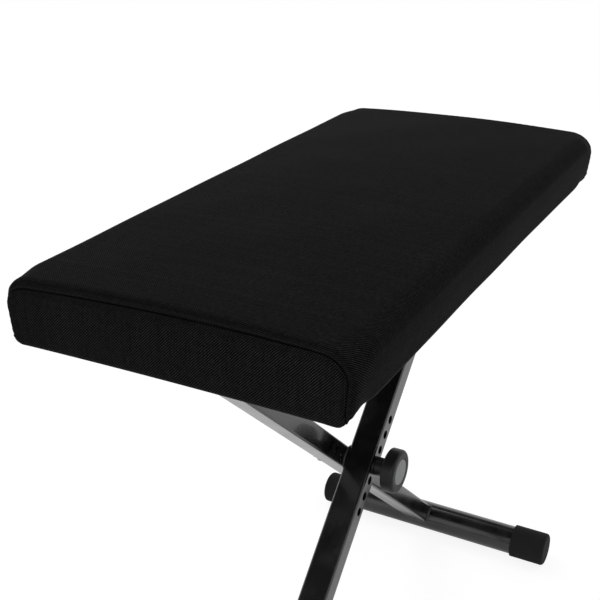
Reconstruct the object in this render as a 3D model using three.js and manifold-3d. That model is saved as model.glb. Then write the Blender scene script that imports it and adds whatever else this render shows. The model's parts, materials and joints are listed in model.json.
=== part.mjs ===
// Folding keyboard bench: a padded seat on one X of rectangular steel tube.
// Sizes are in millimetres and +Z is up. The origin is on the floor under the middle of the seat,
// X runs along the seat and -Y faces the player's side, where the clamp knob is.
import * as THREE from 'three';
import { mergeVertices } from 'three/addons/utils/BufferGeometryUtils.js';
import Module from 'manifold-3d';

// Overall sizes
const seatHeight = 547;
const legSlopeDegrees = 43.1;
const footSpan = 304;

// Clearance between touching pieces, and how far a cutter runs past what it cuts
const gap = 0.3;
const overrun = 5;

// Cushion
const seatLength = 600;
const seatWidth = 291;
const seatThickness = 60;
const seatCrown = 3;
const seatTopRadius = 18;
const seatCornerRadius = 25;
const seatCornerReach = 40;
const seatBottomRadius = 15.5;
const seatEndRadius = 12.5;
const seatSideDrawIn = 1.5;
const seatEndDrawIn = 2.5;
const seamDepth = 1.2;
const seamHalfWidth = 1.3;
const seamPlaceShare = 0.6;
const endPanelShare = 0.5;

// Plywood board under the cushion
const boardEndMargin = 30;
const boardSideMargin = 29.5;
const boardThickness = 12;
const boardCornerRadius = 14;

// Saddle straps, bushes and their screws
const hingeSetback = 68.5;
const strapSideMargin = 24;
const strapWidth = 24;
const strapThickness = 2.5;
const strapBendRadius = 2;
const strapEdge = 6.5;
const bushWall = 1.5;
const bushOverhang = 1;
const screwHeadRadius = 4.5;
const screwHeadHeight = 2.6;
const screwHeadRound = 1.6;
const screwShankRadius = 2;
const screwDepth = 9;
const screwTip = 2;
const screwDriveRadius = 1.4;
const screwDriveDepth = 1.4;
const screwRoom = 0.8;

// Arms of the X
const armWidth = 28;
const armDepth = 22;
const armWall = 2;
const armCornerRadius = 2.6;
const armGap = 3;
const holeRadius = 4.5;
const holePitch = 16.6;
const holesEachSide = 3;

// Cross tubes
const topTubeRadius = 12.5;
const topTubeWall = 2;
const plugHeadRadius = 13.8;
const plugHeadThickness = 3;
const plugEdge = 1;
const plugSpigot = 14;
const footTubeRadius = 17.5;
const footTubeWall = 1.5;

// Rubber foot caps
const capWall = 2.2;
const capEndWall = 4;
const capLength = 42;
const capRound = 3.5;
const soleDepth = 0.6;

// Clamp screw, knob and sleeve nut
const shankRadius = 4.2;
const threadRadius = 2.6;
const threadDepth = 22;
const hubWasherThickness = 2;
const hubRadius = 9.5;
const hubLength = 9.8;
const knobRadius = 22.5;
const knobThickness = 16;
const knobBackCone = 2.5;
const knobBackRound = 1.6;
const knobFaceRound = 3.8;
const knobInsert = 18;
const badgeRadius = 13.5;
const badgeThickness = 2;
const badgeEdge = 0.5;
const spacerRadius = 13.5;
const spacerEdge = 0.8;
const nutFlangeRadius = 11;
const nutFlangeThickness = 2;
const nutHexRadius = 9.5;
const nutHexLength = 5;

// Facets of round forms
const roundSteps = 32;
const smallRoundSteps = 20;
const screwSteps = 12;
const bendSteps = 4;
const cushionEndShares = [0, 0.22, 0.42, 0.8, 1];
const cushionSpans = 8;
const topSpans = 8;
const topArcSteps = 6;
const bottomArcSteps = 4;
const hexSides = 6;
const weldTolerance = 1e-4;

// Worked out from the sizes above
const topTubeSpacing = seatLength - 2 * hingeSetback;
const boardLength = seatLength - 2 * boardEndMargin;
const boardWidth = seatWidth - 2 * boardSideMargin;
const strapPlace = boardWidth / 2 - strapSideMargin;
const legSlope = THREE.MathUtils.degToRad(legSlopeDegrees);
const seatBottomHeight = seatHeight - seatThickness;
const bushRadius = topTubeRadius + gap + bushWall;
const hingeHeight = seatBottomHeight - gap - bushRadius;
const capRadius = footTubeRadius + gap + capWall;
const footHeight = capRadius - soleDepth;
const legLength = (hingeHeight - footHeight) / Math.sin(legSlope);
const pivotReach = topTubeSpacing / 2 / Math.cos(legSlope);
const armOuterFace = armGap / 2 + armWidth;
const armMiddle = (armGap + armWidth) / 2;
const strapInnerRadius = bushRadius + gap;
const flangeStart = strapInnerRadius + strapThickness + strapBendRadius;
const screwPlace = flangeStart + screwHeadRadius + screwRoom;
const bushLength = strapWidth + 2 * bushOverhang;
const topTubeHalfLength = strapPlace + bushLength / 2 + gap;
const hingePlaces = [topTubeSpacing / 2, -topTubeSpacing / 2];
const sideNames = { front: -1, rear: 1 };

const finishes = {
  fabric: { color: 0x17171a, roughness: 0.95, metalness: 0 },
  plywood: { color: 0x8d6b45, roughness: 0.8, metalness: 0 },
  blackSteel: { color: 0x1c1c1e, roughness: 0.45, metalness: 0.2 },
  zinc: { color: 0xb5b8bb, roughness: 0.35, metalness: 0.9 },
  nylon: { color: 0x2a2a2c, roughness: 0.6, metalness: 0 },
  rubber: { color: 0x141414, roughness: 0.85, metalness: 0 },
  blackPlastic: { color: 0x1e1e20, roughness: 0.5, metalness: 0 },
  satinGrey: { color: 0xa4a6a8, roughness: 0.4, metalness: 0.3 },
};

const wasm = await Module();
wasm.setup();

function addPart(parent, name, geometry, finish) {
  const mesh = new THREE.Mesh(geometry, new THREE.MeshStandardMaterial(finishes[finish]));
  mesh.name = name;
  parent.add(mesh);
}

// A closed geometry as a solid that can be cut and joined
function toSolid(geometry) {
  const bare = geometry.clone();
  bare.deleteAttribute('normal');
  bare.deleteAttribute('uv');
  const welded = mergeVertices(bare, weldTolerance);
  return new wasm.Manifold(new wasm.Mesh({
    numProp: 3,
    vertProperties: new Float32Array(welded.attributes.position.array),
    triVerts: new Uint32Array(welded.index.array),
  }));
}

function toGeometry(solid) {
  const { vertProperties, triVerts } = solid.getMesh();
  const geometry = new THREE.BufferGeometry();
  geometry.setAttribute('position', new THREE.BufferAttribute(vertProperties, 3));
  geometry.setIndex(new THREE.BufferAttribute(triVerts, 1));
  geometry.computeVertexNormals();
  return geometry;
}

function cut(geometry, cutters) {
  const start = toSolid(geometry);
  return toGeometry(cutters.reduce((solid, cutter) => solid.subtract(toSolid(cutter)), start));
}

// Points of an arc, from one angle to another in radians, both ends included
function arc(centreX, centreY, radius, from, to, steps) {
  return Array.from({ length: steps + 1 }, (_, i) => {
    const angle = from + ((to - from) * i) / steps;
    return new THREE.Vector2(centreX + radius * Math.cos(angle), centreY + radius * Math.sin(angle));
  });
}

function roundedRectangle(width, height, radius, steps) {
  const x = width / 2 - radius;
  const y = height / 2 - radius;
  const quarter = Math.PI / 2;
  return [
    ...arc(x, -y, radius, -quarter, 0, steps),
    ...arc(x, y, radius, 0, quarter, steps),
    ...arc(-x, y, radius, quarter, 2 * quarter, steps),
    ...arc(-x, -y, radius, 2 * quarter, 3 * quarter, steps),
  ];
}

function extrude(outline, depth, holes = []) {
  const shape = new THREE.Shape(outline);
  shape.holes = holes.map((points) => new THREE.Path(points));
  return new THREE.ExtrudeGeometry(shape, { depth, bevelEnabled: false });
}

// Turns an extrusion so that it runs along X, with its outline in the YZ plane
function layAlongX(geometry) {
  const [x, y, z] = [new THREE.Vector3(1, 0, 0), new THREE.Vector3(0, 1, 0), new THREE.Vector3(0, 0, 1)];
  return geometry.applyMatrix4(new THREE.Matrix4().makeBasis(y, z, x));
}

// A body of revolution about Y. The profile of [radius, y] pairs climbs its outer side.
function revolve(profile, steps) {
  return new THREE.LatheGeometry(profile.map(([radius, y]) => new THREE.Vector2(radius, y)), steps);
}

function rod(radius, from, to, steps) {
  return revolve([[0, from], [radius, from], [radius, to], [0, to]], steps);
}

function sleeve(innerRadius, outerRadius, from, to, steps) {
  const ends = [[innerRadius, from], [outerRadius, from], [outerRadius, to], [innerRadius, to]];
  return revolve([...ends, [innerRadius, from]], steps);
}

// Cushion: cross-sections from one end panel to the other, joined ring by ring

// Outline in the YZ plane, shrunk all round by an inset, with the bottom of the seat at z = 0
function cushionOutline(inset, topRadius) {
  const quarter = Math.PI / 2;
  const halfWidth = seatWidth / 2 - inset;
  const top = seatThickness - inset;
  const upper = topRadius - inset;
  const lower = seatBottomRadius - inset;
  const topFlat = 2 * (halfWidth - upper);
  const topLine = Array.from({ length: topSpans - 1 }, (_, i) => {
    return new THREE.Vector2(topFlat / 2 - (topFlat * (i + 1)) / topSpans, top);
  });
  const sideMiddle = (lower + top - upper + inset) / 2;
  return [
    new THREE.Vector2(0, inset),
    ...arc(halfWidth - lower, lower + inset, lower, -quarter, 0, bottomArcSteps),
    new THREE.Vector2(halfWidth, sideMiddle),
    ...arc(halfWidth - upper, top - upper, upper, 0, quarter, topArcSteps),
    ...topLine,
    ...arc(upper - halfWidth, top - upper, upper, quarter, 2 * quarter, topArcSteps),
    new THREE.Vector2(-halfWidth, sideMiddle),
    ...arc(lower - halfWidth, lower + inset, lower, 2 * quarter, 3 * quarter, bottomArcSteps),
  ];
}

// The stretched cover: crowned top, and edges drawn in between the corners
function stretchCover(x, y, z) {
  const along = (2 * x) / seatLength;
  const across = (2 * y) / seatWidth;
  const level = (2 * z) / seatThickness - 1;
  const endPull = seatEndDrawIn * (1 - across ** 2) * level ** 2 * along ** 8;
  const sidePull = 1 - ((2 * seatSideDrawIn) / seatWidth) * (1 - along ** 2);
  const drop = seatCrown * across ** 2 * (z / seatThickness) ** 2;
  return new THREE.Vector3(x - Math.sign(x) * endPull, y * sidePull, z - drop);
}

// The rounded edge of an end panel, with the groove of its seam
function endStations() {
  const seamAngle = (seamPlaceShare * Math.PI) / 2;
  const seamTurn = seamHalfWidth / seatEndRadius;
  const angles = cushionEndShares.map((share) => (share * Math.PI) / 2);
  const edge = [...angles, seamAngle - seamTurn, seamAngle + seamTurn];
  const stations = edge.map((angle) => ({ angle, depth: 0 }));
  stations.push({ angle: seamAngle, depth: seamDepth });
  stations.sort((a, b) => a.angle - b.angle);
  return stations.map(({ angle, depth }) => ({
    back: seatEndRadius - (seatEndRadius - depth) * Math.cos(angle),
    inset: seatEndRadius - (seatEndRadius - depth) * Math.sin(angle),
  }));
}

function cushionRing(x, inset) {
  const blendStart = seatLength / 2 - seatCornerReach;
  const blend = THREE.MathUtils.smoothstep(Math.abs(x), blendStart, seatLength / 2);
  const topRadius = THREE.MathUtils.lerp(seatTopRadius, seatCornerRadius, blend);
  return cushionOutline(inset, topRadius).map((point) => stretchCover(x, point.x, point.y));
}

// The middle of an end panel, inside its rim
function endPanelRing(x) {
  const middle = seatThickness / 2;
  return cushionOutline(seatEndRadius, seatCornerRadius).map((point) => {
    const height = middle + (point.y - middle) * endPanelShare;
    return stretchCover(x, point.x * endPanelShare, height);
  });
}

// A closed body through rings of equal length, each end closed on a middle point
function loft(rings, startPoint, endPoint) {
  const count = rings[0].length;
  const points = [startPoint, ...rings.flat(), endPoint];
  const last = points.length - 1;
  const lastRing = 1 + count * (rings.length - 1);
  const faces = [];
  for (let i = 0; i < count; i += 1) {
    const next = (i + 1) % count;
    faces.push(0, 1 + next, 1 + i);
    faces.push(last, lastRing + i, lastRing + next);
    for (let ring = 0; ring < rings.length - 1; ring += 1) {
      const here = 1 + ring * count;
      const there = here + count;
      faces.push(here + i, here + next, there + next);
      faces.push(here + i, there + next, there + i);
    }
  }
  const geometry = new THREE.BufferGeometry().setFromPoints(points);
  geometry.setIndex(faces);
  return geometry;
}

function makeCushion() {
  const end = seatLength / 2;
  const fullStart = end - seatEndRadius;
  const leftEnd = endStations().map(({ back, inset }) => cushionRing(back - end, inset));
  const rightEnd = endStations().reverse().map(({ back, inset }) => cushionRing(end - back, inset));
  const middle = Array.from({ length: cushionSpans - 1 }, (_, i) => {
    return cushionRing(-fullStart + (2 * fullStart * (i + 1)) / cushionSpans, 0);
  });
  const rings = [endPanelRing(-end), ...leftEnd, ...middle, ...rightEnd, endPanelRing(end)];
  const panelMiddle = new THREE.Vector3(end, 0, seatThickness / 2);
  const body = loft(rings, panelMiddle.clone().setX(-end), panelMiddle);
  const pocketOutline = roundedRectangle(
    boardLength + 2 * gap, boardWidth + 2 * gap, boardCornerRadius + gap, bendSteps);
  const pocket = extrude(pocketOutline, overrun + boardThickness + gap).translate(0, 0, -overrun);
  return cut(body, [pocket]);
}

// Board, with a pilot hole for each strap screw

function forEachStrap(visit) {
  for (const x of hingePlaces) {
    for (const [name, side] of Object.entries(sideNames)) {
      visit({ x, y: side * strapPlace, name: `${name}_${x > 0 ? 'right' : 'left'}` });
    }
  }
}

function makeBoard() {
  const outline = roundedRectangle(boardLength, boardWidth, boardCornerRadius, bendSteps);
  const pilots = [];
  forEachStrap(({ x, y }) => {
    for (const side of [-1, 1]) {
      const pilot = rod(screwShankRadius + gap, -overrun, screwDepth + gap, screwSteps);
      pilots.push(pilot.rotateX(Math.PI / 2).translate(x + side * screwPlace, y, 0));
    }
  });
  return cut(extrude(outline, boardThickness), pilots);
}

// Saddle strap in the hinge's own frame: it passes under the top tube and is screwed to the board
function makeStrap() {
  const quarter = Math.PI / 2;
  const flangeEnd = screwPlace + strapEdge;
  const flangeTop = bushRadius;
  const bendPlace = flangeTop - strapThickness - strapBendRadius;
  const outerRadius = strapInnerRadius + strapThickness;
  const outerBend = strapBendRadius + strapThickness;
  const inner = [
    new THREE.Vector2(flangeEnd, flangeTop),
    ...arc(flangeStart, bendPlace, outerBend, quarter, 2 * quarter, bendSteps),
    ...arc(0, 0, strapInnerRadius, 0, -2 * quarter, roundSteps / 2),
    ...arc(-flangeStart, bendPlace, outerBend, 0, quarter, bendSteps),
    new THREE.Vector2(-flangeEnd, flangeTop),
  ];
  const outer = [
    new THREE.Vector2(-flangeEnd, flangeTop - strapThickness),
    ...arc(-flangeStart, bendPlace, strapBendRadius, quarter, 0, bendSteps),
    ...arc(0, 0, outerRadius, 2 * quarter, 4 * quarter, roundSteps / 2),
    ...arc(flangeStart, bendPlace, strapBendRadius, 2 * quarter, quarter, bendSteps),
    new THREE.Vector2(flangeEnd, flangeTop - strapThickness),
  ];
  const strap = extrude([...inner, ...outer], strapWidth).translate(0, 0, -strapWidth / 2);
  const holes = [-1, 1].map((side) => {
    const hole = rod(screwShankRadius + gap, 0, flangeTop + overrun, smallRoundSteps);
    return hole.rotateX(quarter).translate(side * screwPlace, 0, 0);
  });
  return cut(strap.rotateX(quarter), holes);
}

// Pan-head screw pointing up, with z = 0 under its head
function makeScrew() {
  const quarter = Math.PI / 2;
  const shank = strapThickness + 2 * gap + screwDepth;
  const edge = arc(
    screwHeadRadius - screwHeadRound, screwHeadRound - screwHeadHeight, screwHeadRound, -quarter, 0, bendSteps);
  const profile = [
    [0, screwDriveDepth - screwHeadHeight],
    [screwDriveRadius, screwDriveDepth - screwHeadHeight],
    [screwDriveRadius, -screwHeadHeight],
    ...edge.map((point) => [point.x, point.y]),
    [screwHeadRadius, 0],
    [screwShankRadius, 0],
    [screwShankRadius, shank - screwTip],
    [0, shank],
  ];
  return revolve(profile, screwSteps).rotateX(quarter);
}

function makeSeat() {
  const seat = new THREE.Group();
  seat.position.z = seatBottomHeight;
  addPart(seat, 'seat_cushion', makeCushion(), 'fabric');
  addPart(seat, 'seat_board', makeBoard(), 'plywood');
  forEachStrap(({ x, y, name }) => {
    const hinge = new THREE.Group();
    hinge.position.set(x, y, hingeHeight - seatBottomHeight);
    seat.add(hinge);
    addPart(hinge, `saddle_strap_${name}`, makeStrap(), 'blackSteel');
    const bush = sleeve(topTubeRadius + gap, bushRadius, -bushLength / 2, bushLength / 2, roundSteps);
    addPart(hinge, `hinge_bush_${name}`, bush, 'nylon');
    for (const [place, side] of [['inner', -Math.sign(x)], ['outer', Math.sign(x)]]) {
      const screwZ = bushRadius - strapThickness - gap;
      const screw = makeScrew().translate(side * screwPlace, 0, screwZ);
      addPart(hinge, `strap_screw_${name}_${place}`, screw, 'zinc');
    }
  });
  return seat;
}

// Legs: each is one arm with a top tube to hinge on and a foot tube to stand on

// Rectangular tube, coped to both cross tubes, with the row of height holes
function makeArm(side) {
  const outer = roundedRectangle(armWidth, armDepth, armCornerRadius, bendSteps);
  const inner = roundedRectangle(
    armWidth - 2 * armWall, armDepth - 2 * armWall, armCornerRadius - armWall, 1);
  const tube = layAlongX(extrude(outer, legLength, [inner])).translate(0, side * armMiddle, 0);
  const reach = armOuterFace + overrun;
  const cutters = [
    rod(topTubeRadius + gap, -reach, reach, roundSteps),
    rod(footTubeRadius + gap, -reach, reach, roundSteps).translate(legLength, 0, 0),
  ];
  for (let i = -holesEachSide; i <= holesEachSide; i += 1) {
    cutters.push(rod(holeRadius, -reach, reach, smallRoundSteps).translate(pivotReach + i * holePitch, 0, 0));
  }
  return cut(tube, cutters);
}

// End plug of a top tube: its head keeps the tube between the bushes
function makePlug() {
  const spigotRadius = topTubeRadius - topTubeWall - gap;
  return revolve([
    [0, -plugSpigot],
    [spigotRadius - plugEdge, -plugSpigot],
    [spigotRadius, plugEdge - plugSpigot],
    [spigotRadius, gap],
    [plugHeadRadius, gap],
    [plugHeadRadius, gap + plugHeadThickness - plugEdge],
    [plugHeadRadius - plugEdge, gap + plugHeadThickness],
    [0, gap + plugHeadThickness],
  ], roundSteps);
}

// Rubber cap over the end of a foot tube, closed at y = 0 and flat underneath
function makeFootCap() {
  const edge = arc(capRadius - capRound, -capRound, capRound, 0, Math.PI / 2, bendSteps);
  const cup = revolve([
    [0, -capEndWall],
    [footTubeRadius + gap, -capEndWall],
    [footTubeRadius + gap, -capLength],
    [capRadius, -capLength],
    ...edge.map((point) => [point.x, point.y]),
    [0, 0],
  ], roundSteps);
  const floor = new THREE.BoxGeometry(2 * capRadius, 2 * capLength, 2 * overrun);
  return cut(cup, [floor.translate(0, -capLength, -footHeight - overrun)]);
}

function makeLeg(label, side) {
  const leg = new THREE.Group();
  leg.position.set((-side * topTubeSpacing) / 2, 0, hingeHeight);
  leg.rotation.y = side > 0 ? legSlope : Math.PI - legSlope;
  addPart(leg, `${label}_arm`, makeArm(side), 'blackSteel');
  const topTube = sleeve(
    topTubeRadius - topTubeWall, topTubeRadius, -topTubeHalfLength, topTubeHalfLength, roundSteps);
  addPart(leg, `${label}_top_tube`, topTube, 'blackSteel');

  // The foot is level with the floor, whatever the slope of the arm
  const foot = new THREE.Group();
  foot.position.x = legLength;
  foot.rotation.y = -leg.rotation.y;
  leg.add(foot);
  const footTubeHalfLength = footSpan / 2 - capEndWall - gap;
  const footTube = sleeve(
    footTubeRadius - footTubeWall, footTubeRadius, -footTubeHalfLength, footTubeHalfLength, roundSteps);
  addPart(foot, `${label}_foot_tube`, footTube, 'blackSteel');

  for (const [place, end] of Object.entries(sideNames)) {
    const turn = end > 0 ? 0 : Math.PI;
    const plug = makePlug().translate(0, topTubeHalfLength, 0).rotateZ(turn);
    addPart(leg, `${label}_plug_${place}`, plug, 'nylon');
    const cap = makeFootCap().translate(0, footSpan / 2, 0).rotateZ(turn);
    addPart(foot, `${label}_foot_cap_${place}`, cap, 'rubber');
  }
  return leg;
}

// Clamp at the crossing: the knob's screw goes through the front arm and the sleeve nut through the rear one

// Knob with a hub towards the arm, a conical back, a blind bore for its screw and a recess in its face
function makeKnob(hubEnd) {
  const quarter = Math.PI / 2;
  const back = hubEnd - hubLength;
  const face = back - knobThickness;
  const faceEdge = arc(knobRadius - knobFaceRound, face + knobFaceRound, knobFaceRound, -quarter, 0, bendSteps);
  const rimBack = back - knobBackCone;
  const backEdge = arc(
    knobRadius - knobBackRound, rimBack - knobBackRound, knobBackRound, 0, quarter, bendSteps);
  return revolve([
    [0, face + badgeThickness + gap],
    [badgeRadius + gap, face + badgeThickness + gap],
    [badgeRadius + gap, face],
    ...[...faceEdge, ...backEdge].map((point) => [point.x, point.y]),
    [hubRadius, back],
    [hubRadius, hubEnd],
    [shankRadius + gap, hubEnd],
    [shankRadius + gap, hubEnd - knobInsert - gap],
    [0, hubEnd - knobInsert - gap],
  ], roundSteps);
}

function makeBadge(face) {
  return revolve([
    [0, face],
    [badgeRadius - badgeEdge, face],
    [badgeRadius, face + badgeEdge],
    [badgeRadius, face + badgeThickness],
    [0, face + badgeThickness],
  ], roundSteps);
}

// Sleeve nut: a tapped barrel that fills both the rear arm's hole and the spacer, under a hexagon head
function makeSleeveNut() {
  const mouth = gap - armGap / 2;
  const flange = armOuterFace + gap;
  const flangeBack = flange + nutFlangeThickness;
  const barrel = toSolid(revolve([
    [0, mouth + threadDepth],
    [threadRadius, mouth + threadDepth],
    [threadRadius, mouth],
    [shankRadius, mouth],
    [shankRadius, flange],
    [nutFlangeRadius, flange],
    [nutFlangeRadius, flangeBack],
    [0, flangeBack],
  ], smallRoundSteps));
  const hexLength = nutFlangeThickness / 2 + nutHexLength;
  const hexMiddle = flangeBack + nutHexLength - hexLength / 2;
  const hexagon = new THREE.CylinderGeometry(nutHexRadius, nutHexRadius, hexLength, hexSides);
  return toGeometry(barrel.add(toSolid(hexagon.translate(0, hexMiddle, 0))));
}

// Spacer between the arms, with its rim bevelled to both sides
function makeSpacer() {
  const half = armGap / 2 - gap;
  const bore = shankRadius + gap;
  return revolve([
    [bore, -half],
    [spacerRadius - spacerEdge, -half],
    [spacerRadius, spacerEdge - half],
    [spacerRadius, half - spacerEdge],
    [spacerRadius - spacerEdge, half],
    [bore, half],
    [bore, -half],
  ], roundSteps);
}

function makeClamp() {
  const clamp = new THREE.Group();
  clamp.position.z = hingeHeight - pivotReach * Math.sin(legSlope);
  const washerFront = -armOuterFace - gap - hubWasherThickness;
  const hubEnd = washerFront - gap;
  const face = hubEnd - hubLength - knobThickness;
  const washer = sleeve(shankRadius + gap, hubRadius, washerFront, -armOuterFace - gap, roundSteps);
  const screw = rod(shankRadius, hubEnd - knobInsert, -armGap / 2, smallRoundSteps);
  addPart(clamp, 'clamp_knob', makeKnob(hubEnd), 'blackPlastic');
  addPart(clamp, 'knob_badge', makeBadge(face), 'satinGrey');
  addPart(clamp, 'clamp_screw', screw, 'zinc');
  addPart(clamp, 'hub_washer', washer, 'blackPlastic');
  addPart(clamp, 'spacer_washer', makeSpacer(), 'nylon');
  addPart(clamp, 'sleeve_nut', makeSleeveNut(), 'zinc');
  return clamp;
}

const bench = new THREE.Group();
bench.add(makeSeat());
for (const [place, side] of Object.entries(sideNames)) {
  bench.add(makeLeg(`${place}_leg`, side));
}
bench.add(makeClamp());

export default bench;
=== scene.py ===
"""Looks of a folding keyboard bench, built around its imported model. Lengths are in metres, +Z is up."""
import json
import math

import bmesh
import bpy
import numpy as np
from mathutils import Matrix, Vector


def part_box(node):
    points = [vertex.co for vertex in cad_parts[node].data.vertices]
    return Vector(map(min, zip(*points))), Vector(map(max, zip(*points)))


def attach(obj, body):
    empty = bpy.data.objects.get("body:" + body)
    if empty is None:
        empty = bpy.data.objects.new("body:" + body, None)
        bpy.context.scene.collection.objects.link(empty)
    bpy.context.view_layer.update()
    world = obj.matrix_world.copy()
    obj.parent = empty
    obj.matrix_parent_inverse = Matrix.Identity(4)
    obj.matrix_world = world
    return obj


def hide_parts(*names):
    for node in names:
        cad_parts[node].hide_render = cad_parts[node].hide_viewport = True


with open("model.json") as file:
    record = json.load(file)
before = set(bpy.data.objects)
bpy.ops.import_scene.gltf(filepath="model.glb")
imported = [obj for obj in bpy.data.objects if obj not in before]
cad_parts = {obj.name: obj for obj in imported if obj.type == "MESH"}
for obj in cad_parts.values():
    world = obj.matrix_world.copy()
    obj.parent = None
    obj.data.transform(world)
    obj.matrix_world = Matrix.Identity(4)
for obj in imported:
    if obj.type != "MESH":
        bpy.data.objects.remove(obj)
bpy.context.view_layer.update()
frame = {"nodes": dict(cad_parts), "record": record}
MM = 0.001
QUARTER = math.pi / 2

# Camera, as solved from the seat's outline and the two arms
CAMERA_PLACE = Vector((-0.80406, -0.39236, 0.83564))
CAMERA_YAW = 0.506884
CAMERA_PITCH = 0.421988
CAMERA_ROLL = -0.017547
CAMERA_LENS_MM = 61.48
CAMERA_SENSOR_MM = 36.0

# Studio: the place, side and watts of each square lamp, and the point that they all face
LAMPS = {
    "softbox_back": ((0.9, 1.5, 2.3), 1.5, 13),
    "softbox_front": ((-2.3, -1.1, 1.3), 1.6, 10),
}
LAMP_TARGET = (0, 0, 0.5)
FLOOR_REACH = 20
# The world's light on the bench, and the heights of view between which its white turns into a dark ceiling
# in gloss
WORLD_LIGHT = 0.65
CEILING_START = 0.48
CEILING_FULL = 0.66
CEILING_LIGHT = 0.08
# The backdrop that the floor shows: its share of what is seen, its light, and how much of it shows in gloss
BACKDROP_SHARE = 0.77
BACKDROP_LIGHT = 1.13
BACKDROP_IN_GLOSS = 0.32

# Fine patterns of the materials
THREAD_PITCH = 1.06 * MM
RING_PITCH = 0.45 * MM
DOT_PITCH = 1.6 * MM
# Edges of a solid that are steeper than this stay sharp, and points closer than this are welded
EDGE_ANGLE = math.radians(32)
WELD_REACH = 0.02 * MM

# Cushion cover
END_RADIUS = 12.5 * MM
END_RADIUS_LOW = 10.6 * MM
END_RADIUS_SLANT = 0.6 * MM
END_RADIUS_START = 12 * MM
END_RADIUS_FULL_SHARE = 0.6
END_RADIUS_FADE = 30 * MM
TOP_RADIUS = 16.5 * MM
CORNER_RADIUS = 25 * MM
CORNER_REACH = 40 * MM
BOTTOM_RADIUS = 10.5 * MM
BOTTOM_CORNER_RADII = (13 * MM, 11 * MM)
CROWN = 5 * MM
# Near and far side: how far the side stands out, how much more at its top, and how far it is drawn in
# mid-length. The near side stands out a little more towards its right end.
SIDE_FORMS = ((1 * MM, 3 * MM, 0.4 * MM), (-1.3 * MM, 4.4 * MM, -0.6 * MM))
SIDE_FLARE = 2.2 * MM
SIDE_BULGE = 0.7 * MM
SIDE_BULGE_DEPTH = 6 * MM
SIDE_BULGE_PLACE_SHARE = 0.48
SIDE_BULGE_HEIGHT_SHARE = 0.22
END_DRAW_IN = 2.5 * MM
END_SWELL = 1.5 * MM
END_FADE_POWER = 8
PANEL_BULGE = 0.8 * MM
PANEL_SPINE_MARGIN = 30 * MM
BOARD_FIT = 0.3 * MM
BOARD_CORNER = 14 * MM
POCKET_OVERRUN = 10 * MM

# Seam of the end panel: where on the rim it runs, over the top, down the sides and underneath
SEAM_ANGLE_TOP = math.radians(40.5)
SEAM_ANGLE_SLANT = math.radians(10.9)
SEAM_ANGLE_NEAR = math.radians(54)
SEAM_ANGLE_FAR = math.radians(45)
SEAM_ANGLE_LOW = math.radians(76)
SEAM_GROOVE_DEPTH = 1.3 * MM
SEAM_GROOVE_WIDTH = 0.5 * MM
# Height of the cover over its plain form, by the distance past the seam, both in mm
SEAM_PROFILE = ((-12, 0), (-6, -0.15), (-2.5, -0.7), (-0.8, -1.25), (0, -1.5), (0.9, -1.35), (4, -1.95),
                (5, -1.7), (6.5, -1), (8.5, -0.35), (11, -0.08), (14, 0))
# The profile is sampled over this range and its corners are rounded off over this reach and width, all in mm
SEAM_PROFILE_RANGE = (-16, 18)
SEAM_SAMPLE = 0.05
SEAM_SOFT_REACH = 2
SEAM_SOFT_WIDTH = 0.7
# Painted shade in the seam's crevice and in the dip behind it: darker bands along the seam, how far past it,
# # how wide, and the share of light taken away
SEAM_PAINTED_SHADE = ((0, 0.8 * MM, 0.55), (5.6 * MM, 2.4 * MM, 0.28), (-3 * MM, 2.5 * MM, 0.14))

# Puckers along the seam, and folds gathered round the bottom corners. Drift and lean are in radians.
PUCKER_HEIGHT = 0.24 * MM
PUCKER_PITCH = 7.3 * MM
PUCKER_DRIFT = 1.7
PUCKER_DRIFT_PITCH = 57 * MM
PUCKER_SWELL_SHARE = 0.4
PUCKER_SWELL_PITCH = 83 * MM
PUCKER_PLACE = 3 * MM
PUCKER_REACH = 6 * MM
GATHER_HEIGHT = 0.75 * MM
GATHER_SINK_SHARE = 0.2
GATHER_PITCH = 6.2 * MM
GATHER_LEAN = 1.2
GATHER_LEAN_PITCH = 23 * MM
GATHER_PLACE = 3 * MM
GATHER_REACH = 10 * MM
GATHER_PANEL_REACH = 3 * MM
CORNER_FILL_NEAR = 1.5 * MM
CORNER_FILL_FAR = 0.6 * MM
CORNER_FILL_REACH = 7 * MM
CORNER_DIP = 2 * MM
CORNER_DIP_PLACE = 26 * MM
CORNER_DIP_REACH = 11 * MM
CORNER_WIDTH = 9 * MM

# Slow swells of the foam, which fade out towards the seam
FOAM_SWELL = 0.16 * MM
FOAM_PITCH_LONG = 210 * MM
FOAM_PITCH_CROSS = 170 * MM
FOAM_PITCH_SLANT = 130 * MM
FOAM_SLANT_SHARE = 0.7
FOAM_FADE = 12 * MM
# How much a point has to face down before it begins to count as the cover's underside
LOW_FACING = 0.5

# Points of the cover's half outline, and its cross-sections from the middle of an end panel to mid-length
BOTTOM_POINTS = 25
BOTTOM_ARC_STEPS = 14
SIDE_POINTS = 17
TOP_ARC_STEPS = 16
TOP_POINTS = 65
PANEL_SHARES = (0.04, 0.12, 0.25, 0.4, 0.55, 0.68, 0.78, 0.86, 0.92, 0.97)
# Cross-sections on the rim, by their distance before or past the seam, each a part of the rim's reach there
RIM_BEFORE = (8.5, 7.7, 6.8, 5.8, 4.8, 3.9, 3.1, 2.4, 1.8, 1.35, 0.95, 0.6, 0.3)
RIM_BEFORE_REACH = 8.5
RIM_PAST = (0, 0.3, 0.6, 0.95, 1.35, 1.8, 2.3, 2.85, 3.4, 3.95, 4.5, 5.05, 5.6, 6.2, 6.8, 7.4, 8.1, 8.8,
            9.5, 10.25)
RIM_PAST_REACH = 11
BODY_FIRST_STEP = 0.75 * MM
BODY_WIDEST_STEP = 3.6 * MM
BODY_STEP_GROWTH = 1.05

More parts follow.
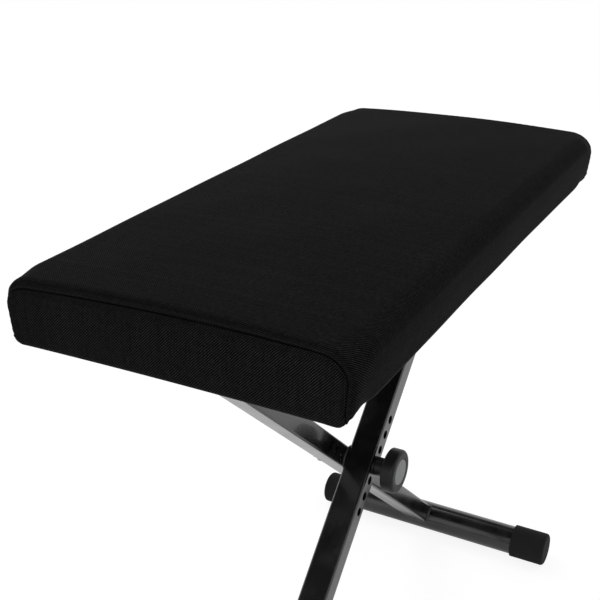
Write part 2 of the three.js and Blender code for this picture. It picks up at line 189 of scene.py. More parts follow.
# Underside
LINING_GAP = 0.05 * MM
LINING_THICKNESS = 0.17 * MM
DUST_COVER_MARGIN = 9 * MM
STAPLE_INSET = 5 * MM
STAPLE_PITCH = 45 * MM
STAPLE_CROWN = 10 * MM
STAPLE_WIRE = 0.35 * MM
STAPLE_LEG = 3 * MM
STAPLE_BEND = 0.6 * MM
STAPLE_SIDES = 6

# Legs
LEG_SLOPE = math.radians(43.1)
ARM_WIDTH = 28 * MM
ARM_DEPTH = 22 * MM
ARM_CORNER = 2.6 * MM
TOP_TUBE_RADIUS = 12.5 * MM
FOOT_TUBE_RADIUS = 17.5 * MM
BEAD_RADIUS = 1.7 * MM
BEAD_RIPPLE = 2.4 * MM
BEAD_RIPPLE_SHARE = 0.12
BEAD_RIPPLE_POINTS = 5
BEAD_SIDES = 10

# Clamp knob
HUB_RADIUS = 9.5 * MM
HUB_LENGTH = 9.8 * MM
HUB_FILLET = 1.2 * MM
HUB_ROUND = 0.8 * MM
KNOB_FACE_ROUND = 3.8 * MM
KNOB_BACK_ROUND = 1.6 * MM
KNOB_BACK_CONE = 2.5 * MM
KNOB_LIP = 0.5 * MM
KNOB_SHOULDER_TURN = 0.9 * QUARTER
KNOB_EDGE_ANGLE = math.radians(40)
BADGE_FIT = 0.3 * MM
SCREW_BORE_RADIUS = 4.5 * MM
SCREW_BORE_DEPTH = 18.3 * MM


class Nodes:
    """A node tree being built. Its methods add nodes, and most give back the socket that is read next."""

    def __init__(self, tree, material=None):
        self.tree = tree
        self.material = material
        tree.nodes.clear()

    def node(self, kind, inputs, **settings):
        made = self.tree.nodes.new(kind)
        for key, value in settings.items():
            setattr(made, key, value)
        for key, value in inputs.items():
            if isinstance(value, bpy.types.NodeSocket):
                self.tree.links.new(value, made.inputs[key])
            else:
                made.inputs[key].default_value = value
        return made

    def math(self, operation, first, *others):
        """One step of arithmetic, or like steps one after another where there are more than two values."""
        if not others:
            return self.node("ShaderNodeMath", {0: first}, operation=operation).outputs[0]
        for other in others:
            first = self.node("ShaderNodeMath", {0: first, 1: other}, operation=operation).outputs[0]
        return first

    def vector(self, operation, inputs, output=0):
        return self.node("ShaderNodeVectorMath", inputs, operation=operation).outputs[output]

    def split(self, vector):
        return self.node("ShaderNodeSeparateXYZ", {0: vector}).outputs

    def span(self, value, low, high, to_low, to_high, **settings):
        names = {"Value": value, "From Min": low, "From Max": high, "To Min": to_low, "To Max": to_high}
        return self.node("ShaderNodeMapRange", names, **settings).outputs[0]

    def vary(self, noise, low, high):
        """Spreads the range that most of a noise lies in, from 0.3 to 0.7."""
        return self.span(noise, 0.3, 0.7, low, high)

    def blend(self, share, low, high):
        return self.node("ShaderNodeMix", {"Factor": share, 2: low, 3: high}).outputs[0]

    def wave(self, value, rate):
        return self.math("SINE", self.math("MULTIPLY", value, rate))

    def hump(self, value, middle, width):
        apart = self.math("DIVIDE", self.math("SUBTRACT", value, middle), width)
        return self.math("POWER", math.exp(-1), self.math("MULTIPLY", apart, apart))

    def grey(self, value):
        return self.node("ShaderNodeCombineColor", {0: value, 1: value, 2: value}).outputs[0]

    def uv(self, name):
        return self.node("ShaderNodeUVMap", {}, uv_map=name).outputs[0]

    def place(self, scale=(1, 1, 1)):
        found = self.node("ShaderNodeTexCoord", {}).outputs["Object"]
        return self.node("ShaderNodeMapping", {"Vector": found, "Scale": scale}).outputs[0]

    def noise(self, vector, scale, detail=2.0, roughness=0.5):
        names = {"Vector": vector, "Scale": scale, "Detail": detail, "Roughness": roughness}
        return self.node("ShaderNodeTexNoise", names).outputs[0]

    def chance(self, value):
        """A random number for each whole step of a value."""
        whole = self.math("FLOOR", value)
        return self.node("ShaderNodeTexWhiteNoise", {"W": whole}, noise_dimensions="1D").outputs[0]

    def tint(self, value, dark, light):
        """A colour between two, by a value from 0 to 1."""
        names = {"Factor": value, 6: (*dark, 1), 7: (*light, 1)}
        return self.node("ShaderNodeMix", names, data_type="RGBA").outputs[2]

    def bump(self, height, distance, strength=1.0, normal=None):
        names = {"Height": height, "Distance": distance, "Strength": strength}
        if normal is not None:
            names["Normal"] = normal
        return self.node("ShaderNodeBump", names).outputs[0]

    def surface(self, **sockets):
        """Ends a material with a Principled shader, whose sockets are named with _ for each space."""
        names = {key.replace("_", " "): value for key, value in sockets.items()}
        return self.output(self.node("ShaderNodeBsdfPrincipled", names).outputs[0])

    def output(self, shader):
        self.node("ShaderNodeOutputMaterial", {"Surface": shader})
        return self.material


def new_finish(name):
    material = bpy.data.materials.new(name)
    material.use_nodes = True
    return Nodes(material.node_tree, material)


def woven_cover():
    """Coarse black plain weave: pillows of thread that go over and under by turns, with soft fuzz over them.
    Painted shading: the crowns of the threads, and slanting ribs through them along one diagonal only, are
    lighter in the colour, as light raking across the weave would show them. Painted shade: the cloth is
    darker in the seam and in the dip behind it."""
    f = new_finish("woven_cover")
    cloth = f.uv("cloth")
    threads = f.vector("SCALE", {0: cloth, "Scale": 1 / THREAD_PITCH})
    wobble = f.vary(f.noise(cloth, 55.0, 2.0), -0.07, 0.07)
    along, across = f.split(f.vector("ADD", {0: threads, 1: wobble}))[:2]
    wave_a, wave_b = f.wave(along, math.pi), f.wave(across, math.pi)
    over = f.span(f.math("MULTIPLY", wave_a, wave_b), -0.08, 0.08, 0.0, 1.0)
    ridge_a, ridge_b = f.math("ABSOLUTE", wave_a), f.math("ABSOLUTE", wave_b)
    roundness = 0.55
    warp = f.math("MULTIPLY", f.math("POWER", ridge_a, roundness), f.span(ridge_b, 0.0, 1.0, 0.3, 1.0))
    weft = f.math("MULTIPLY", f.math("POWER", ridge_b, roundness), f.span(ridge_a, 0.0, 1.0, 0.2, 0.86))
    pillow = f.blend(over, weft, warp)
    slant = f.math("COSINE", f.math("MULTIPLY", f.math("ADD", along, across), math.pi))
    rib = f.math("POWER", f.span(slant, -1.0, 1.0, 1.0, 0.0), 2.0)
    shade = f.blend(over, f.chance(across), f.chance(along))
    fibres = f.noise(f.place(), 2600.0, 3.0, 0.7)
    speckle = f.noise(f.place(), 380.0, 2.0, 0.7)
    cloudy = f.noise(f.place(), 9.0, 3.0)
    # Painted shading: thread crowns and the ribs of one diagonal are made lighter in the tone, as raking
    # light would show the weave's relief
    light = f.math("MULTIPLY", f.span(rib, 0.0, 1.0, 0.12, 1.0), f.span(pillow, 0.1, 1.0, 0.3, 1.0))
    # Painted shade: the tone is darkened in the seam's crevice and in the dip behind it
    past = f.split(f.uv("seam"))[0]
    painted_seam_shade = [f.math("MULTIPLY", f.hump(past, middle, width), share) for middle, width, share in SEAM_PAINTED_SHADE]
    tone = f.math("MULTIPLY", f.span(light, 0.0, 1.0, 0.0006, 0.0325), f.span(shade, 0.0, 1.0, 0.82, 1.18),
                  f.vary(fibres, 0.75, 1.25), f.vary(speckle, 0.7, 1.3), f.vary(cloudy, 0.94, 1.06),
                  f.math("SUBTRACT", 1.0, f.math("ADD", *painted_seam_shade)))
    height = f.math("ADD", f.math("MULTIPLY", pillow, 0.7), f.math("MULTIPLY", rib, 0.5))
    weave = f.bump(height, 0.12 * MM)
    fuzz = f.bump(fibres, 0.04 * MM, 0.6, weave)
    return f.surface(Base_Color=f.grey(tone), Roughness=0.38, IOR=1.0208, Normal=fuzz)


def black_steel():
    """Black powder coat: a fine orange peel with small changes of gloss, rubbed paler along the corners."""
    f = new_finish("black_steel")
    place = f.place()
    peel = f.noise(place, 900.0, 2.0)
    smear = f.noise(place, 28.0, 4.0, 0.6)
    worn = f.node("ShaderNodeNewGeometry", {}).outputs["Pointiness"]
    rub = f.math("MULTIPLY", f.span(worn, 0.53, 0.6, 0.0, 1.0), f.span(smear, 0.45, 0.65, 0.0, 0.35))
    return f.surface(Base_Color=f.tint(rub, (0.0032, 0.0032, 0.0035), (0.03, 0.03, 0.031)),
                     Roughness=f.vary(smear, 0.2, 0.28), IOR=1.5, Coat_Weight=0.45, Coat_Roughness=0.08,
                     Normal=f.bump(peel, 0.02 * MM, 0.3))


def zinc_steel():
    """Bright zinc plate with a slightly cloudy, rolled surface."""
    f = new_finish("zinc_steel")
    cloud = f.noise(f.place(), 160.0, 4.0, 0.6)
    rolled = f.noise(f.place((90, 900, 900)), 6.0, 2.0)
    return f.surface(Base_Color=f.tint(cloud, (0.45, 0.46, 0.47), (0.62, 0.63, 0.63)), Metallic=1.0,
                     Roughness=f.vary(cloud, 0.24, 0.42), Normal=f.bump(rolled, 0.02 * MM, 0.3))


def moulded(name, dark, light, roughness, grain_scale, grain, specular=0.5):
    """Moulded plastic or rubber: a fine spark-eroded grain and a little change of tone."""
    f = new_finish(name)
    skin = f.noise(f.place(), grain_scale, 3.0, 0.6)
    tone = f.noise(f.place(), 45.0, 3.0)
    return f.surface(Base_Color=f.tint(tone, (dark,) * 3, (light,) * 3), Specular_IOR_Level=specular,
                     Roughness=f.vary(skin, roughness - 0.05, roughness + 0.07),
                     Normal=f.bump(skin, grain, 0.5))


def badge_plate():
    """Satin grey disc, turned with fine rings about its own middle."""
    low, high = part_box("knob_badge")
    f = new_finish("badge_plate")
    found = f.node("ShaderNodeTexCoord", {}).outputs["Object"]
    apart = f.vector("SUBTRACT", {0: found, 1: (low + high) / 2})
    radius = f.vector("LENGTH", {0: f.vector("MULTIPLY", {0: apart, 1: (1, 0, 1)})}, "Value")
    rings = f.wave(radius, 2 * math.pi / RING_PITCH)
    tone = f.noise(f.place(), 500.0, 3.0)
    return f.surface(Base_Color=f.tint(tone, (0.17, 0.173, 0.176), (0.23, 0.233, 0.236)), Metallic=0.4,
                     Roughness=0.4, Normal=f.bump(rings, 0.02 * MM, 0.4))


def stained_board():
    """Black-stained plywood with a face grain that runs along the seat."""
    f = new_finish("stained_board")
    grain = f.noise(f.place((6, 90, 60)), 4.0, 5.0, 0.65)
    pores = f.noise(f.place((40, 900, 900)), 2.0, 2.0)
    tone = f.math("MULTIPLY", grain, f.span(pores, 0.35, 0.65, 0.7, 1.15))
    return f.surface(Base_Color=f.tint(tone, (0.006, 0.005, 0.004), (0.03, 0.022, 0.016)), Roughness=0.7,
                     Normal=f.bump(tone, 0.1 * MM, 0.4))


def spun_lining():
    """Black spun-bonded lining, embossed with small dots."""
    f = new_finish("spun_lining")
    place = f.place()
    waves = [f.wave(value, 2 * math.pi / DOT_PITCH) for value in f.split(place)[:2]]
    dots = f.span(f.math("MULTIPLY", *waves), 0.3, 0.8, 1.0, 0.0)
    fibres = f.noise(place, 1500.0, 4.0, 0.7)
    height = f.math("ADD", dots, f.math("MULTIPLY", fibres, 0.6))
    return f.surface(Base_Color=f.tint(height, (0.005, 0.005, 0.0055), (0.014, 0.014, 0.015)), Roughness=0.75,
                     Specular_IOR_Level=0.15, Normal=f.bump(height, 0.1 * MM, 0.6))


def studio_floor():
    """Pale floor that reads as a white backdrop to the camera and in gloss, and keeps the bench's shadow."""
    f = new_finish("studio_floor")
    rays = f.node("ShaderNodeLightPath", {}).outputs
    mirrored = f.math("MULTIPLY", rays["Is Glossy Ray"], BACKDROP_IN_GLOSS)
    seen = f.math("MAXIMUM", rays["Is Camera Ray"], mirrored, rays["Is Transmission Ray"])
    mottle = f.noise(f.place(), 3.0, 3.0)
    paper = f.node("ShaderNodeBsdfDiffuse", {"Color": f.tint(mottle, (0.84, 0.84, 0.84), (0.88, 0.88, 0.88))})
    glow = f.node("ShaderNodeEmission", {"Color": (1, 1, 1, 1), "Strength": BACKDROP_LIGHT})
    share = f.math("MULTIPLY", seen, BACKDROP_SHARE)
    both = f.node("ShaderNodeMixShader", {0: share, 1: paper.outputs[0], 2: glow.outputs[0]})
    return f.output(both.outputs[0])


def make_world():
    """White all round for the camera, and in gloss up to a dark ceiling."""
    world = bpy.data.worlds.new("studio")
    bpy.context.scene.world = world
    world.use_nodes = True
    f = Nodes(world.node_tree)
    rays = f.node("ShaderNodeLightPath", {}).outputs
    seen = f.math("MAXIMUM", rays["Is Camera Ray"], rays["Is Glossy Ray"], rays["Is Transmission Ray"])
    height = f.split(f.node("ShaderNodeTexCoord", {}).outputs["Generated"])[2]
    ceiling = f.span(height, CEILING_START, CEILING_FULL, 1.0, CEILING_LIGHT, interpolation_type="SMOOTHSTEP")
    lights = WORLD_LIGHT, f.math("MAXIMUM", ceiling, rays["Is Camera Ray"])
    dim, bright = (f.node("ShaderNodeBackground", {"Color": (1, 1, 1, 1), "Strength": light}).outputs[0]
                   for light in lights)
    mix = f.node("ShaderNodeMixShader", {0: seen, 1: dim, 2: bright})
    f.node("ShaderNodeOutputWorld", {"Surface": mix.outputs[0]})


def link(name, data):
    made = bpy.data.objects.new(name, data)
    bpy.context.scene.collection.objects.link(made)
    return made


def make_lamp(name, place, side, power):
    data = bpy.data.lights.new(name, "AREA")
    data.shape = "RECTANGLE"
    data.size = data.size_y = side
    data.energy = power
    lamp = link(name, data)
    lamp.location = place
    lamp.rotation_euler = (Vector(LAMP_TARGET) - Vector(place)).to_track_quat("-Z", "Y").to_euler()


def make_camera():
    level = math.cos(CAMERA_PITCH)
    ahead = Vector((level * math.cos(CAMERA_YAW), level * math.sin(CAMERA_YAW), -math.sin(CAMERA_PITCH)))
    right = ahead.cross(Vector((0, 0, 1))).normalized()
    up = right.cross(ahead)
    turned_right = right * math.cos(CAMERA_ROLL) + up * math.sin(CAMERA_ROLL)
    turned_up = up * math.cos(CAMERA_ROLL) - right * math.sin(CAMERA_ROLL)
    data = bpy.data.cameras.new("camera")
    data.sensor_width = CAMERA_SENSOR_MM
    data.lens = CAMERA_LENS_MM
    camera = link("camera", data)
    turn = Matrix((turned_right, turned_up, -ahead)).transposed()
    camera.matrix_world = Matrix.Translation(CAMERA_PLACE) @ turn.to_4x4()
    bpy.context.scene.camera = camera


def make_stage():
    bpy.context.scene.view_settings.view_transform = "Standard"
    make_world()
    mesh = bpy.data.meshes.new("floor")
    corners = [(x * FLOOR_REACH, y * FLOOR_REACH, 0) for x, y in ((-1, -1), (1, -1), (1, 1), (-1, 1))]
    mesh.from_pydata(corners, [], [(0, 1, 2, 3)])
    mesh.materials.append(studio_floor())
    link("floor", mesh)
    for name, (place, side, power) in LAMPS.items():
        make_lamp(name, place, side, power)
    make_camera()


def smoothing():
    """Nodes that weld a faceted solid and shade it smooth, with its edges kept sharp."""
    group = bpy.data.node_groups.new("smoothing", "GeometryNodeTree")
    for way in ("INPUT", "OUTPUT"):
        group.interface.new_socket("Geometry", in_out=way, socket_type="NodeSocketGeometry")
    g = Nodes(group)
    shape = g.node("NodeGroupInput", {}).outputs[0]
    shape = g.node("GeometryNodeMergeByDistance", {"Geometry": shape, "Distance": WELD_REACH}).outputs[0]
    for name in ("custom_normal", "sharp_edge", "sharp_face"):
        shape = g.node("GeometryNodeRemoveAttribute", {"Geometry": shape, "Name": name}).outputs[0]
    shape = g.node("GeometryNodeSetShadeSmooth", {"Geometry": shape}).outputs[0]
    angle = g.node("GeometryNodeInputMeshEdgeAngle", {}).outputs["Unsigned Angle"]
    steep = g.node("FunctionNodeCompare", {0: angle, 1: EDGE_ANGLE}, data_type="FLOAT",
                   operation="GREATER_THAN")
    sharpened = {"Geometry": shape, "Selection": steep.outputs[0], "Shade Smooth": False}
    shape = g.node("GeometryNodeSetShadeSmooth", sharpened, domain="EDGE").outputs[0]
    g.node("NodeGroupOutput", {0: shape})
    return group


def dress_nodes(finishes):
    """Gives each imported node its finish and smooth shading."""
    group = smoothing()
    slots = {part["node"]: part["material_slot"] for part in frame["record"]["subparts"]}
    for name, node in frame["nodes"].items():
        node.data.materials.clear()
        node.data.materials.append(finishes[slots[name]])
        node.modifiers.new("smoothing", "NODES").node_group = group
        even = node.modifiers.new("even_normals", "WEIGHTED_NORMAL")
        even.keep_sharp = True


# Forms that the pieces share

def smooth_step(value, low, high):
    share = np.clip((value - low) / (high - low), 0, 1)
    return share ** 2 * (3 - 2 * share)


def hump(value, middle, width):
    return np.exp(-((value - middle) / width) ** 2)


def wave(value, pitch, start=0.0):
    return np.sin(2 * math.pi * value / pitch + start)


def shade_smooth(mesh):
    mesh.polygons.foreach_set("use_smooth", [True] * len(mesh.polygons))


def arc_points(centre_x, centre_y, radius, start, end, steps):
    turn = np.linspace(start, end, steps + 1)
    return np.column_stack([centre_x + radius * np.cos(turn), centre_y + radius * np.sin(turn)])


def rounded_rectangle(width, height, radius, steps=8):
    x, y = width / 2 - radius, height / 2 - radius
    corners = [(x, -y, -QUARTER), (x, y, 0), (-x, y, QUARTER), (-x, -y, 2 * QUARTER)]
    return np.vstack([arc_points(cx, cy, radius, start, start + QUARTER, steps) for cx, cy, start in corners])


# Cushion cover

def half_outline(size, top_radius, bottom_radius):
    """Half of a cross-section in the YZ plane, from the middle of the bottom to the middle of the top: its
    points, and the way that each of them faces."""
    half_width, top = size.y / 2, size.z

    def level(start, end, height, facing, count):
        run = np.column_stack([np.linspace(start, end, count), np.full(count, height)])
        return run, np.tile((0, facing), (count, 1))

    def bend(radius, height, start, steps):
        turn = np.linspace(start, start + QUARTER, steps + 1)
        facing = np.column_stack([np.cos(turn), np.sin(turn)])
        return np.array([half_width - radius, height]) + radius * facing, facing

    rise = np.linspace(bottom_radius, top - top_radius, SIDE_POINTS)
    side = np.column_stack([np.full(SIDE_POINTS, half_width), rise]), np.tile((1, 0), (SIDE_POINTS, 1))
    runs = [level(0, half_width - bottom_radius, 0, -1, BOTTOM_POINTS),
            bend(bottom_radius, bottom_radius, -QUARTER, BOTTOM_ARC_STEPS),
            side,
            bend(top_radius, top - top_radius, 0, TOP_ARC_STEPS),
            level(half_width - top_radius, 0, top, 1, TOP_POINTS)]
    points, facing = (np.vstack([runs[0][i]] + [run[i][1:] for run in runs[1:]]) for i in (0, 1))
    return points, facing.astype(float)


def cover_outline(size, blend):
    """A whole cross-section, up the far side and down the near one. Blend is 0 in the body, 1 at the ends."""
    top_radius = TOP_RADIUS + (CORNER_RADIUS - TOP_RADIUS) * blend
    near, far = (half_outline(size, top_radius, BOTTOM_RADIUS + (radius - BOTTOM_RADIUS) * blend)
                 for radius in BOTTOM_CORNER_RADII)
    mirror = np.array([-1, 1])
    return [np.vstack([there, (here * mirror)[-2:0:-1]]) for here, there in zip(near, far)]


def stretch_cover(points, size):
    """Crowns the top, shapes the sides and draws the edges in between the corners, as a tight cover does."""
    x, y, z = points.T
    along = 2 * x / size.x
    across = 2 * y / size.y
    level = 2 * z / size.z - 1
    near_end = along ** END_FADE_POWER
    end_pull = END_DRAW_IN * (1 - across ** 2) * level ** 2 * near_end
    swell = END_SWELL * (1 - level ** 2) * near_end
    near, far = (out + lean * level - draw * (1 - along ** 2) for out, lean, draw in SIDE_FORMS)
    spread = 1 + 2 * np.where(y < 0, near, far) / size.y
    drop = CROWN * across ** 2 * (z / size.z) ** 2
    return np.column_stack([x - np.sign(x) * (end_pull - swell), y * spread, z - drop])


def end_stations():
    """Cross-sections of one end, from the middle of its panel on. Each has the panel's share of its size, how
    far round the rim it is (-1 to 0 up to the seam, 0 to 1 past it) and how far behind the rim."""
    found = [(share, -1.0, 0.0) for share in PANEL_SHARES]
    found += [(1.0, -place / RIM_BEFORE_REACH, 0.0) for place in RIM_BEFORE]
    return found + [(1.0, place / RIM_PAST_REACH, 0.0) for place in RIM_PAST]


def body_stations(length):
    """Distances behind the rim, from close ones at the end to wide ones in the middle."""
    steps = [BODY_FIRST_STEP]
    while sum(steps) < length:
        steps.append(min(steps[-1] * BODY_STEP_GROWTH, BODY_WIDEST_STEP))
    places = np.concatenate([[0], np.cumsum(steps)])
    return places[:-1] * length / places[-1]


def rim_shape(points, facing, size):
    """How round the end's rim is at each point of the outline, and the angle on it where the seam runs."""
    y, z = points.T
    low = END_RADIUS_LOW - END_RADIUS_SLANT * 2 * y / size.y
    radius = low + (END_RADIUS - low) * smooth_step(z, END_RADIUS_START, END_RADIUS_FULL_SHARE * size.z)
    top = SEAM_ANGLE_TOP - SEAM_ANGLE_SLANT * 2 * y / size.y
    side = np.where(y < 0, SEAM_ANGLE_NEAR, SEAM_ANGLE_FAR)
    upper = np.clip(facing[:, 1], 0, 1)
    lower = np.clip(-facing[:, 1], 0, 1)
    angle = side + (top - side) * smooth_step(upper, 0, 1)
    return radius, angle + (SEAM_ANGLE_LOW - angle) * smooth_step(lower, 0, 1)


def seam_relief(past, around, low):
    """Height over the plain form: the seam's groove, the allowance folded under it, and its puckers."""
    start, end = SEAM_PROFILE_RANGE
    fine = np.linspace(start * MM, end * MM, round((end - start) / SEAM_SAMPLE) + 1)
    pad = round(SEAM_SOFT_REACH / SEAM_SAMPLE)
    kernel = hump(np.linspace(-SEAM_SOFT_REACH, SEAM_SOFT_REACH, 2 * pad + 1), 0, SEAM_SOFT_WIDTH)
    rough = np.interp(fine, *(np.array(SEAM_PROFILE) * MM).T)
    soft = np.convolve(np.pad(rough, pad, mode="edge"), kernel / kernel.sum(), mode="valid")
    profile = np.interp(past, fine, soft)
    groove = -SEAM_GROOVE_DEPTH * hump(past, 0, SEAM_GROOVE_WIDTH)
    turn = 2 * math.pi * around / PUCKER_PITCH + PUCKER_DRIFT * wave(around, PUCKER_DRIFT_PITCH)
    swell = 1 - PUCKER_SWELL_SHARE + PUCKER_SWELL_SHARE * wave(around, PUCKER_SWELL_PITCH, 2)
    pucker = PUCKER_HEIGHT * np.sin(turn) * swell * hump(past, PUCKER_PLACE, PUCKER_REACH)
    return (profile + groove + pucker) * (1 - low)


def corner_gathers(past, around, corner, y):
    """Folds where the cover is gathered round the bottom corners, by the distance round from each corner: a
    full corner at the seam, and a dip behind it where the cover is pulled under."""
    turn = 2 * math.pi * (around - corner) / GATHER_PITCH + GATHER_LEAN * wave(past, GATHER_LEAN_PITCH)
    reach = np.where(past > 0, hump(past, GATHER_PLACE, GATHER_REACH), hump(past, 0, GATHER_PANEL_REACH))
    folds = GATHER_HEIGHT * (np.cos(turn) - GATHER_SINK_SHARE) * hump(around, corner, GATHER_REACH) * reach
    fill = np.where(y < 0, CORNER_FILL_NEAR, CORNER_FILL_FAR) * hump(past, 0, CORNER_FILL_REACH)
    dip = CORNER_DIP * hump(past, CORNER_DIP_PLACE, CORNER_DIP_REACH)
    return folds + (fill - dip) * hump(around, corner, CORNER_WIDTH)


def foam_relief(x, y, z, size):
    """Slow, shallow swells of the foam under the cover, and a bulge along the sides."""
    swells = wave(x, FOAM_PITCH_LONG, 1.1) * wave(y, FOAM_PITCH_CROSS, 0.4)
    swells = swells + FOAM_SLANT_SHARE * wave(x + y, FOAM_PITCH_SLANT, 2.0)
    bulge = hump(z, size.z * SIDE_BULGE_PLACE_SHARE, size.z * SIDE_BULGE_HEIGHT_SHARE)
    return FOAM_SWELL * swells + SIDE_BULGE * bulge * hump(np.abs(y), size.y / 2, SIDE_BULGE_DEPTH)


def cover_ring(size, share, turn, behind):
    """One cross-section of the cover. For each point of the outline it has the place, the distance past the
    seam, the distance around from the middle of the top, the travel of the cloth from mid-length, how much
    the point faces down, and the distance around at which the bottom corner of its side lies."""
    half = size.x / 2
    blend = 1 - smooth_step(behind, 0, CORNER_REACH - END_RADIUS)
    points, facing = cover_outline(size, blend)
    radius, seam = rim_shape(points, facing, size)
    angle = np.where(turn < 0, seam * (1 + turn), seam + (QUARTER - seam) * turn)
    inset = radius * (1 - np.sin(angle))
    back = radius * (1 - np.cos(angle)) + behind
    back = back + (END_RADIUS - radius) * smooth_step(behind, 0, END_RADIUS_FADE)
    outline = points - facing * inset[:, None]
    past = radius * (angle - seam) + (back - radius) * (behind > 0)
    if share < 1:
        reach = size.y / 2 - PANEL_SPINE_MARGIN
        spine = np.column_stack([np.clip(outline[:, 0], -reach, reach), np.full(len(outline), size.z / 2)])
        past = past - (1 - share) * np.linalg.norm(outline - spine, axis=1)
        outline = spine + (outline - spine) * share
        back = np.full(len(outline), -PANEL_BULGE * (1 - share ** 2) ** 2)
    steps = np.linalg.norm(np.roll(points, -1, axis=0) - points, axis=1)
    around = np.concatenate([[0], np.cumsum(steps)])
    around = around - around[len(points) // 2]
    corner = BOTTOM_POINTS + BOTTOM_ARC_STEPS // 2
    near_corner, far_corner = np.abs(around[[len(points) - corner, corner]])
    return {
        "place": stretch_cover(np.column_stack([back - half, outline]), size),
        "past": past,
        "around": around,
        "travel": np.where(behind > 0, back - half, radius - half - radius * (QUARTER - angle)),
        "low": smooth_step(-facing[:, 1], LOW_FACING, 1),
        "corner": np.where(points[:, 0] < 0, near_corner, far_corner),
    }


def cover_grids(size):
    """The rings of the plain cover from end to end, as a grid for each of their values."""
    stations = end_stations()
    stations += [(1.0, 1.0, behind) for behind in body_stations(size.x / 2 - END_RADIUS)]
    rings = [cover_ring(size, *station) for station in stations]
    grids = {}
    for name in rings[0]:
        left = np.array([ring[name] for ring in rings])
        right = left[-2::-1].copy()
        if name == "place":
            right[..., 0] *= -1
        if name == "travel":
            right *= -1
        grids[name] = np.concatenate([left, right])
    x, y = grids["place"][..., 0], grids["place"][..., 1]
    y -= SIDE_FLARE * smooth_step(x, 0, size.x / 2) * np.clip(-2 * y / size.y, 0, 1)
    return grids


def cover_relief(grids, size):
    x, y, z = np.moveaxis(grids["place"], 2, 0)
    past, around, low = grids["past"], grids["around"][:, :-1], grids["low"]
    relief = seam_relief(past, around, low) + corner_gathers(past, np.abs(around), grids["corner"], y)
    return relief + foam_relief(x, y, z, size) * (1 - low) * smooth_step(past, 0, FOAM_FADE)


def grid_normals(grid):
    along = np.gradient(grid, axis=0)
    around = np.roll(grid, -1, axis=1) - np.roll(grid, 1, axis=1)
    normal = np.cross(around, along)
    return normal / np.maximum(np.linalg.norm(normal, axis=2, keepdims=True), 1e-12)


def wrap(grid):
    """Repeats the first point of each ring at its end."""
    return np.concatenate([grid, grid[:, :1]], axis=1)


def cover_mesh(size):
    """The cover as a closed mesh. Its cloth map runs along the threads, and its seam map tells how far past
    the seam a point is."""
    grids = cover_grids(size)
    plain, around = grids["place"], grids["around"]
    grid = plain + grid_normals(plain) * cover_relief(grids, size)[..., None]
    rings, count = grid.shape[:2]
    numbers = wrap(np.arange(rings * count).reshape(rings, count))
    body_cloth = np.stack([wrap(grids["travel"]), -around], axis=2)
    end_cloth = wrap(plain)[..., 1:]
    seam_map = np.stack([wrap(grids["past"]), around], axis=2)
    faces, cloth, seams = [], [], []
    seam_ring = len(PANEL_SHARES) + len(RIM_BEFORE)
    for ring in range(rings - 1):
        on_panel = ring < seam_ring or ring >= rings - 1 - seam_ring
        source = end_cloth if on_panel else body_cloth
        for table, taken in ((numbers, faces), (source, cloth), (seam_map, seams)):
            low, high = table[ring], table[ring + 1]
            taken.append(np.stack([low[:-1], low[1:], high[1:], high[:-1]], axis=1))
    faces = np.concatenate(faces).tolist()
    maps = {"cloth": [np.concatenate(cloth).reshape(-1, 2)], "seam": [np.concatenate(seams).reshape(-1, 2)]}
    for ring, order in ((0, -1), (rings - 1, 1)):
        faces.append(numbers[ring][:-1][::order].tolist())
        maps["cloth"].append(end_cloth[ring][:-1][::order])
        maps["seam"].append(seam_map[ring][:-1][::order])
    mesh = bpy.data.meshes.new("seat_cover")
    mesh.from_pydata(grid.reshape(-1, 3).tolist(), [], faces)
    for name, parts in maps.items():
        layer = mesh.uv_layers.new(name=name)
        layer.uv.foreach_set("vector", np.concatenate(parts).astype(np.float32).ravel())
    shade_smooth(mesh)
    return mesh


def prism(name, outline, low, high):
    """A closed block with an outline in the XY plane."""
    made = bmesh.new()
    base = [made.verts.new((x, y, low)) for x, y in outline]
    face = made.faces.new(base)
    lifted = bmesh.ops.extrude_face_region(made, geom=[face])["geom"]
    for vert in (g for g in lifted if isinstance(g, bmesh.types.BMVert)):
        vert.co.z = high
    bmesh.ops.recalc_face_normals(made, faces=made.faces)
    mesh = bpy.data.meshes.new(name)
    made.to_mesh(mesh)
    made.free()
    return mesh


def cut_away(piece, cutter_mesh):
    """Takes a block out of a piece, and leaves no modifier behind."""
    cutter = link("cutter", cutter_mesh)
    modifier = piece.modifiers.new("cut", "BOOLEAN")
    modifier.object = cutter
    modifier.operation = "DIFFERENCE"
    modifier.solver = "EXACT"
    bpy.context.view_layer.update()
    done = piece.evaluated_get(bpy.context.evaluated_depsgraph_get())
    mesh = bpy.data.meshes.new_from_object(done)
    piece.modifiers.clear()
    piece.data = mesh
    bpy.data.objects.remove(cutter)


def make_cushion(material):
    low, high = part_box("seat_cushion")
    mesh = cover_mesh(high - low)
    mesh.transform(Matrix.Translation((0, 0, low.z)))
    mesh.materials.append(material)
    cushion = link("cushion", mesh)
    board_low, board_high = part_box("seat_board")
    board = board_high - board_low
    outline = rounded_rectangle(board.x + 2 * BOARD_FIT, board.y + 2 * BOARD_FIT, BOARD_CORNER)
    cut_away(cushion, prism("pocket", outline, board_low.z - POCKET_OVERRUN, board_high.z + BOARD_FIT))
    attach(cushion, "seat")
    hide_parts("seat_cushion")


# Pieces swept along a path

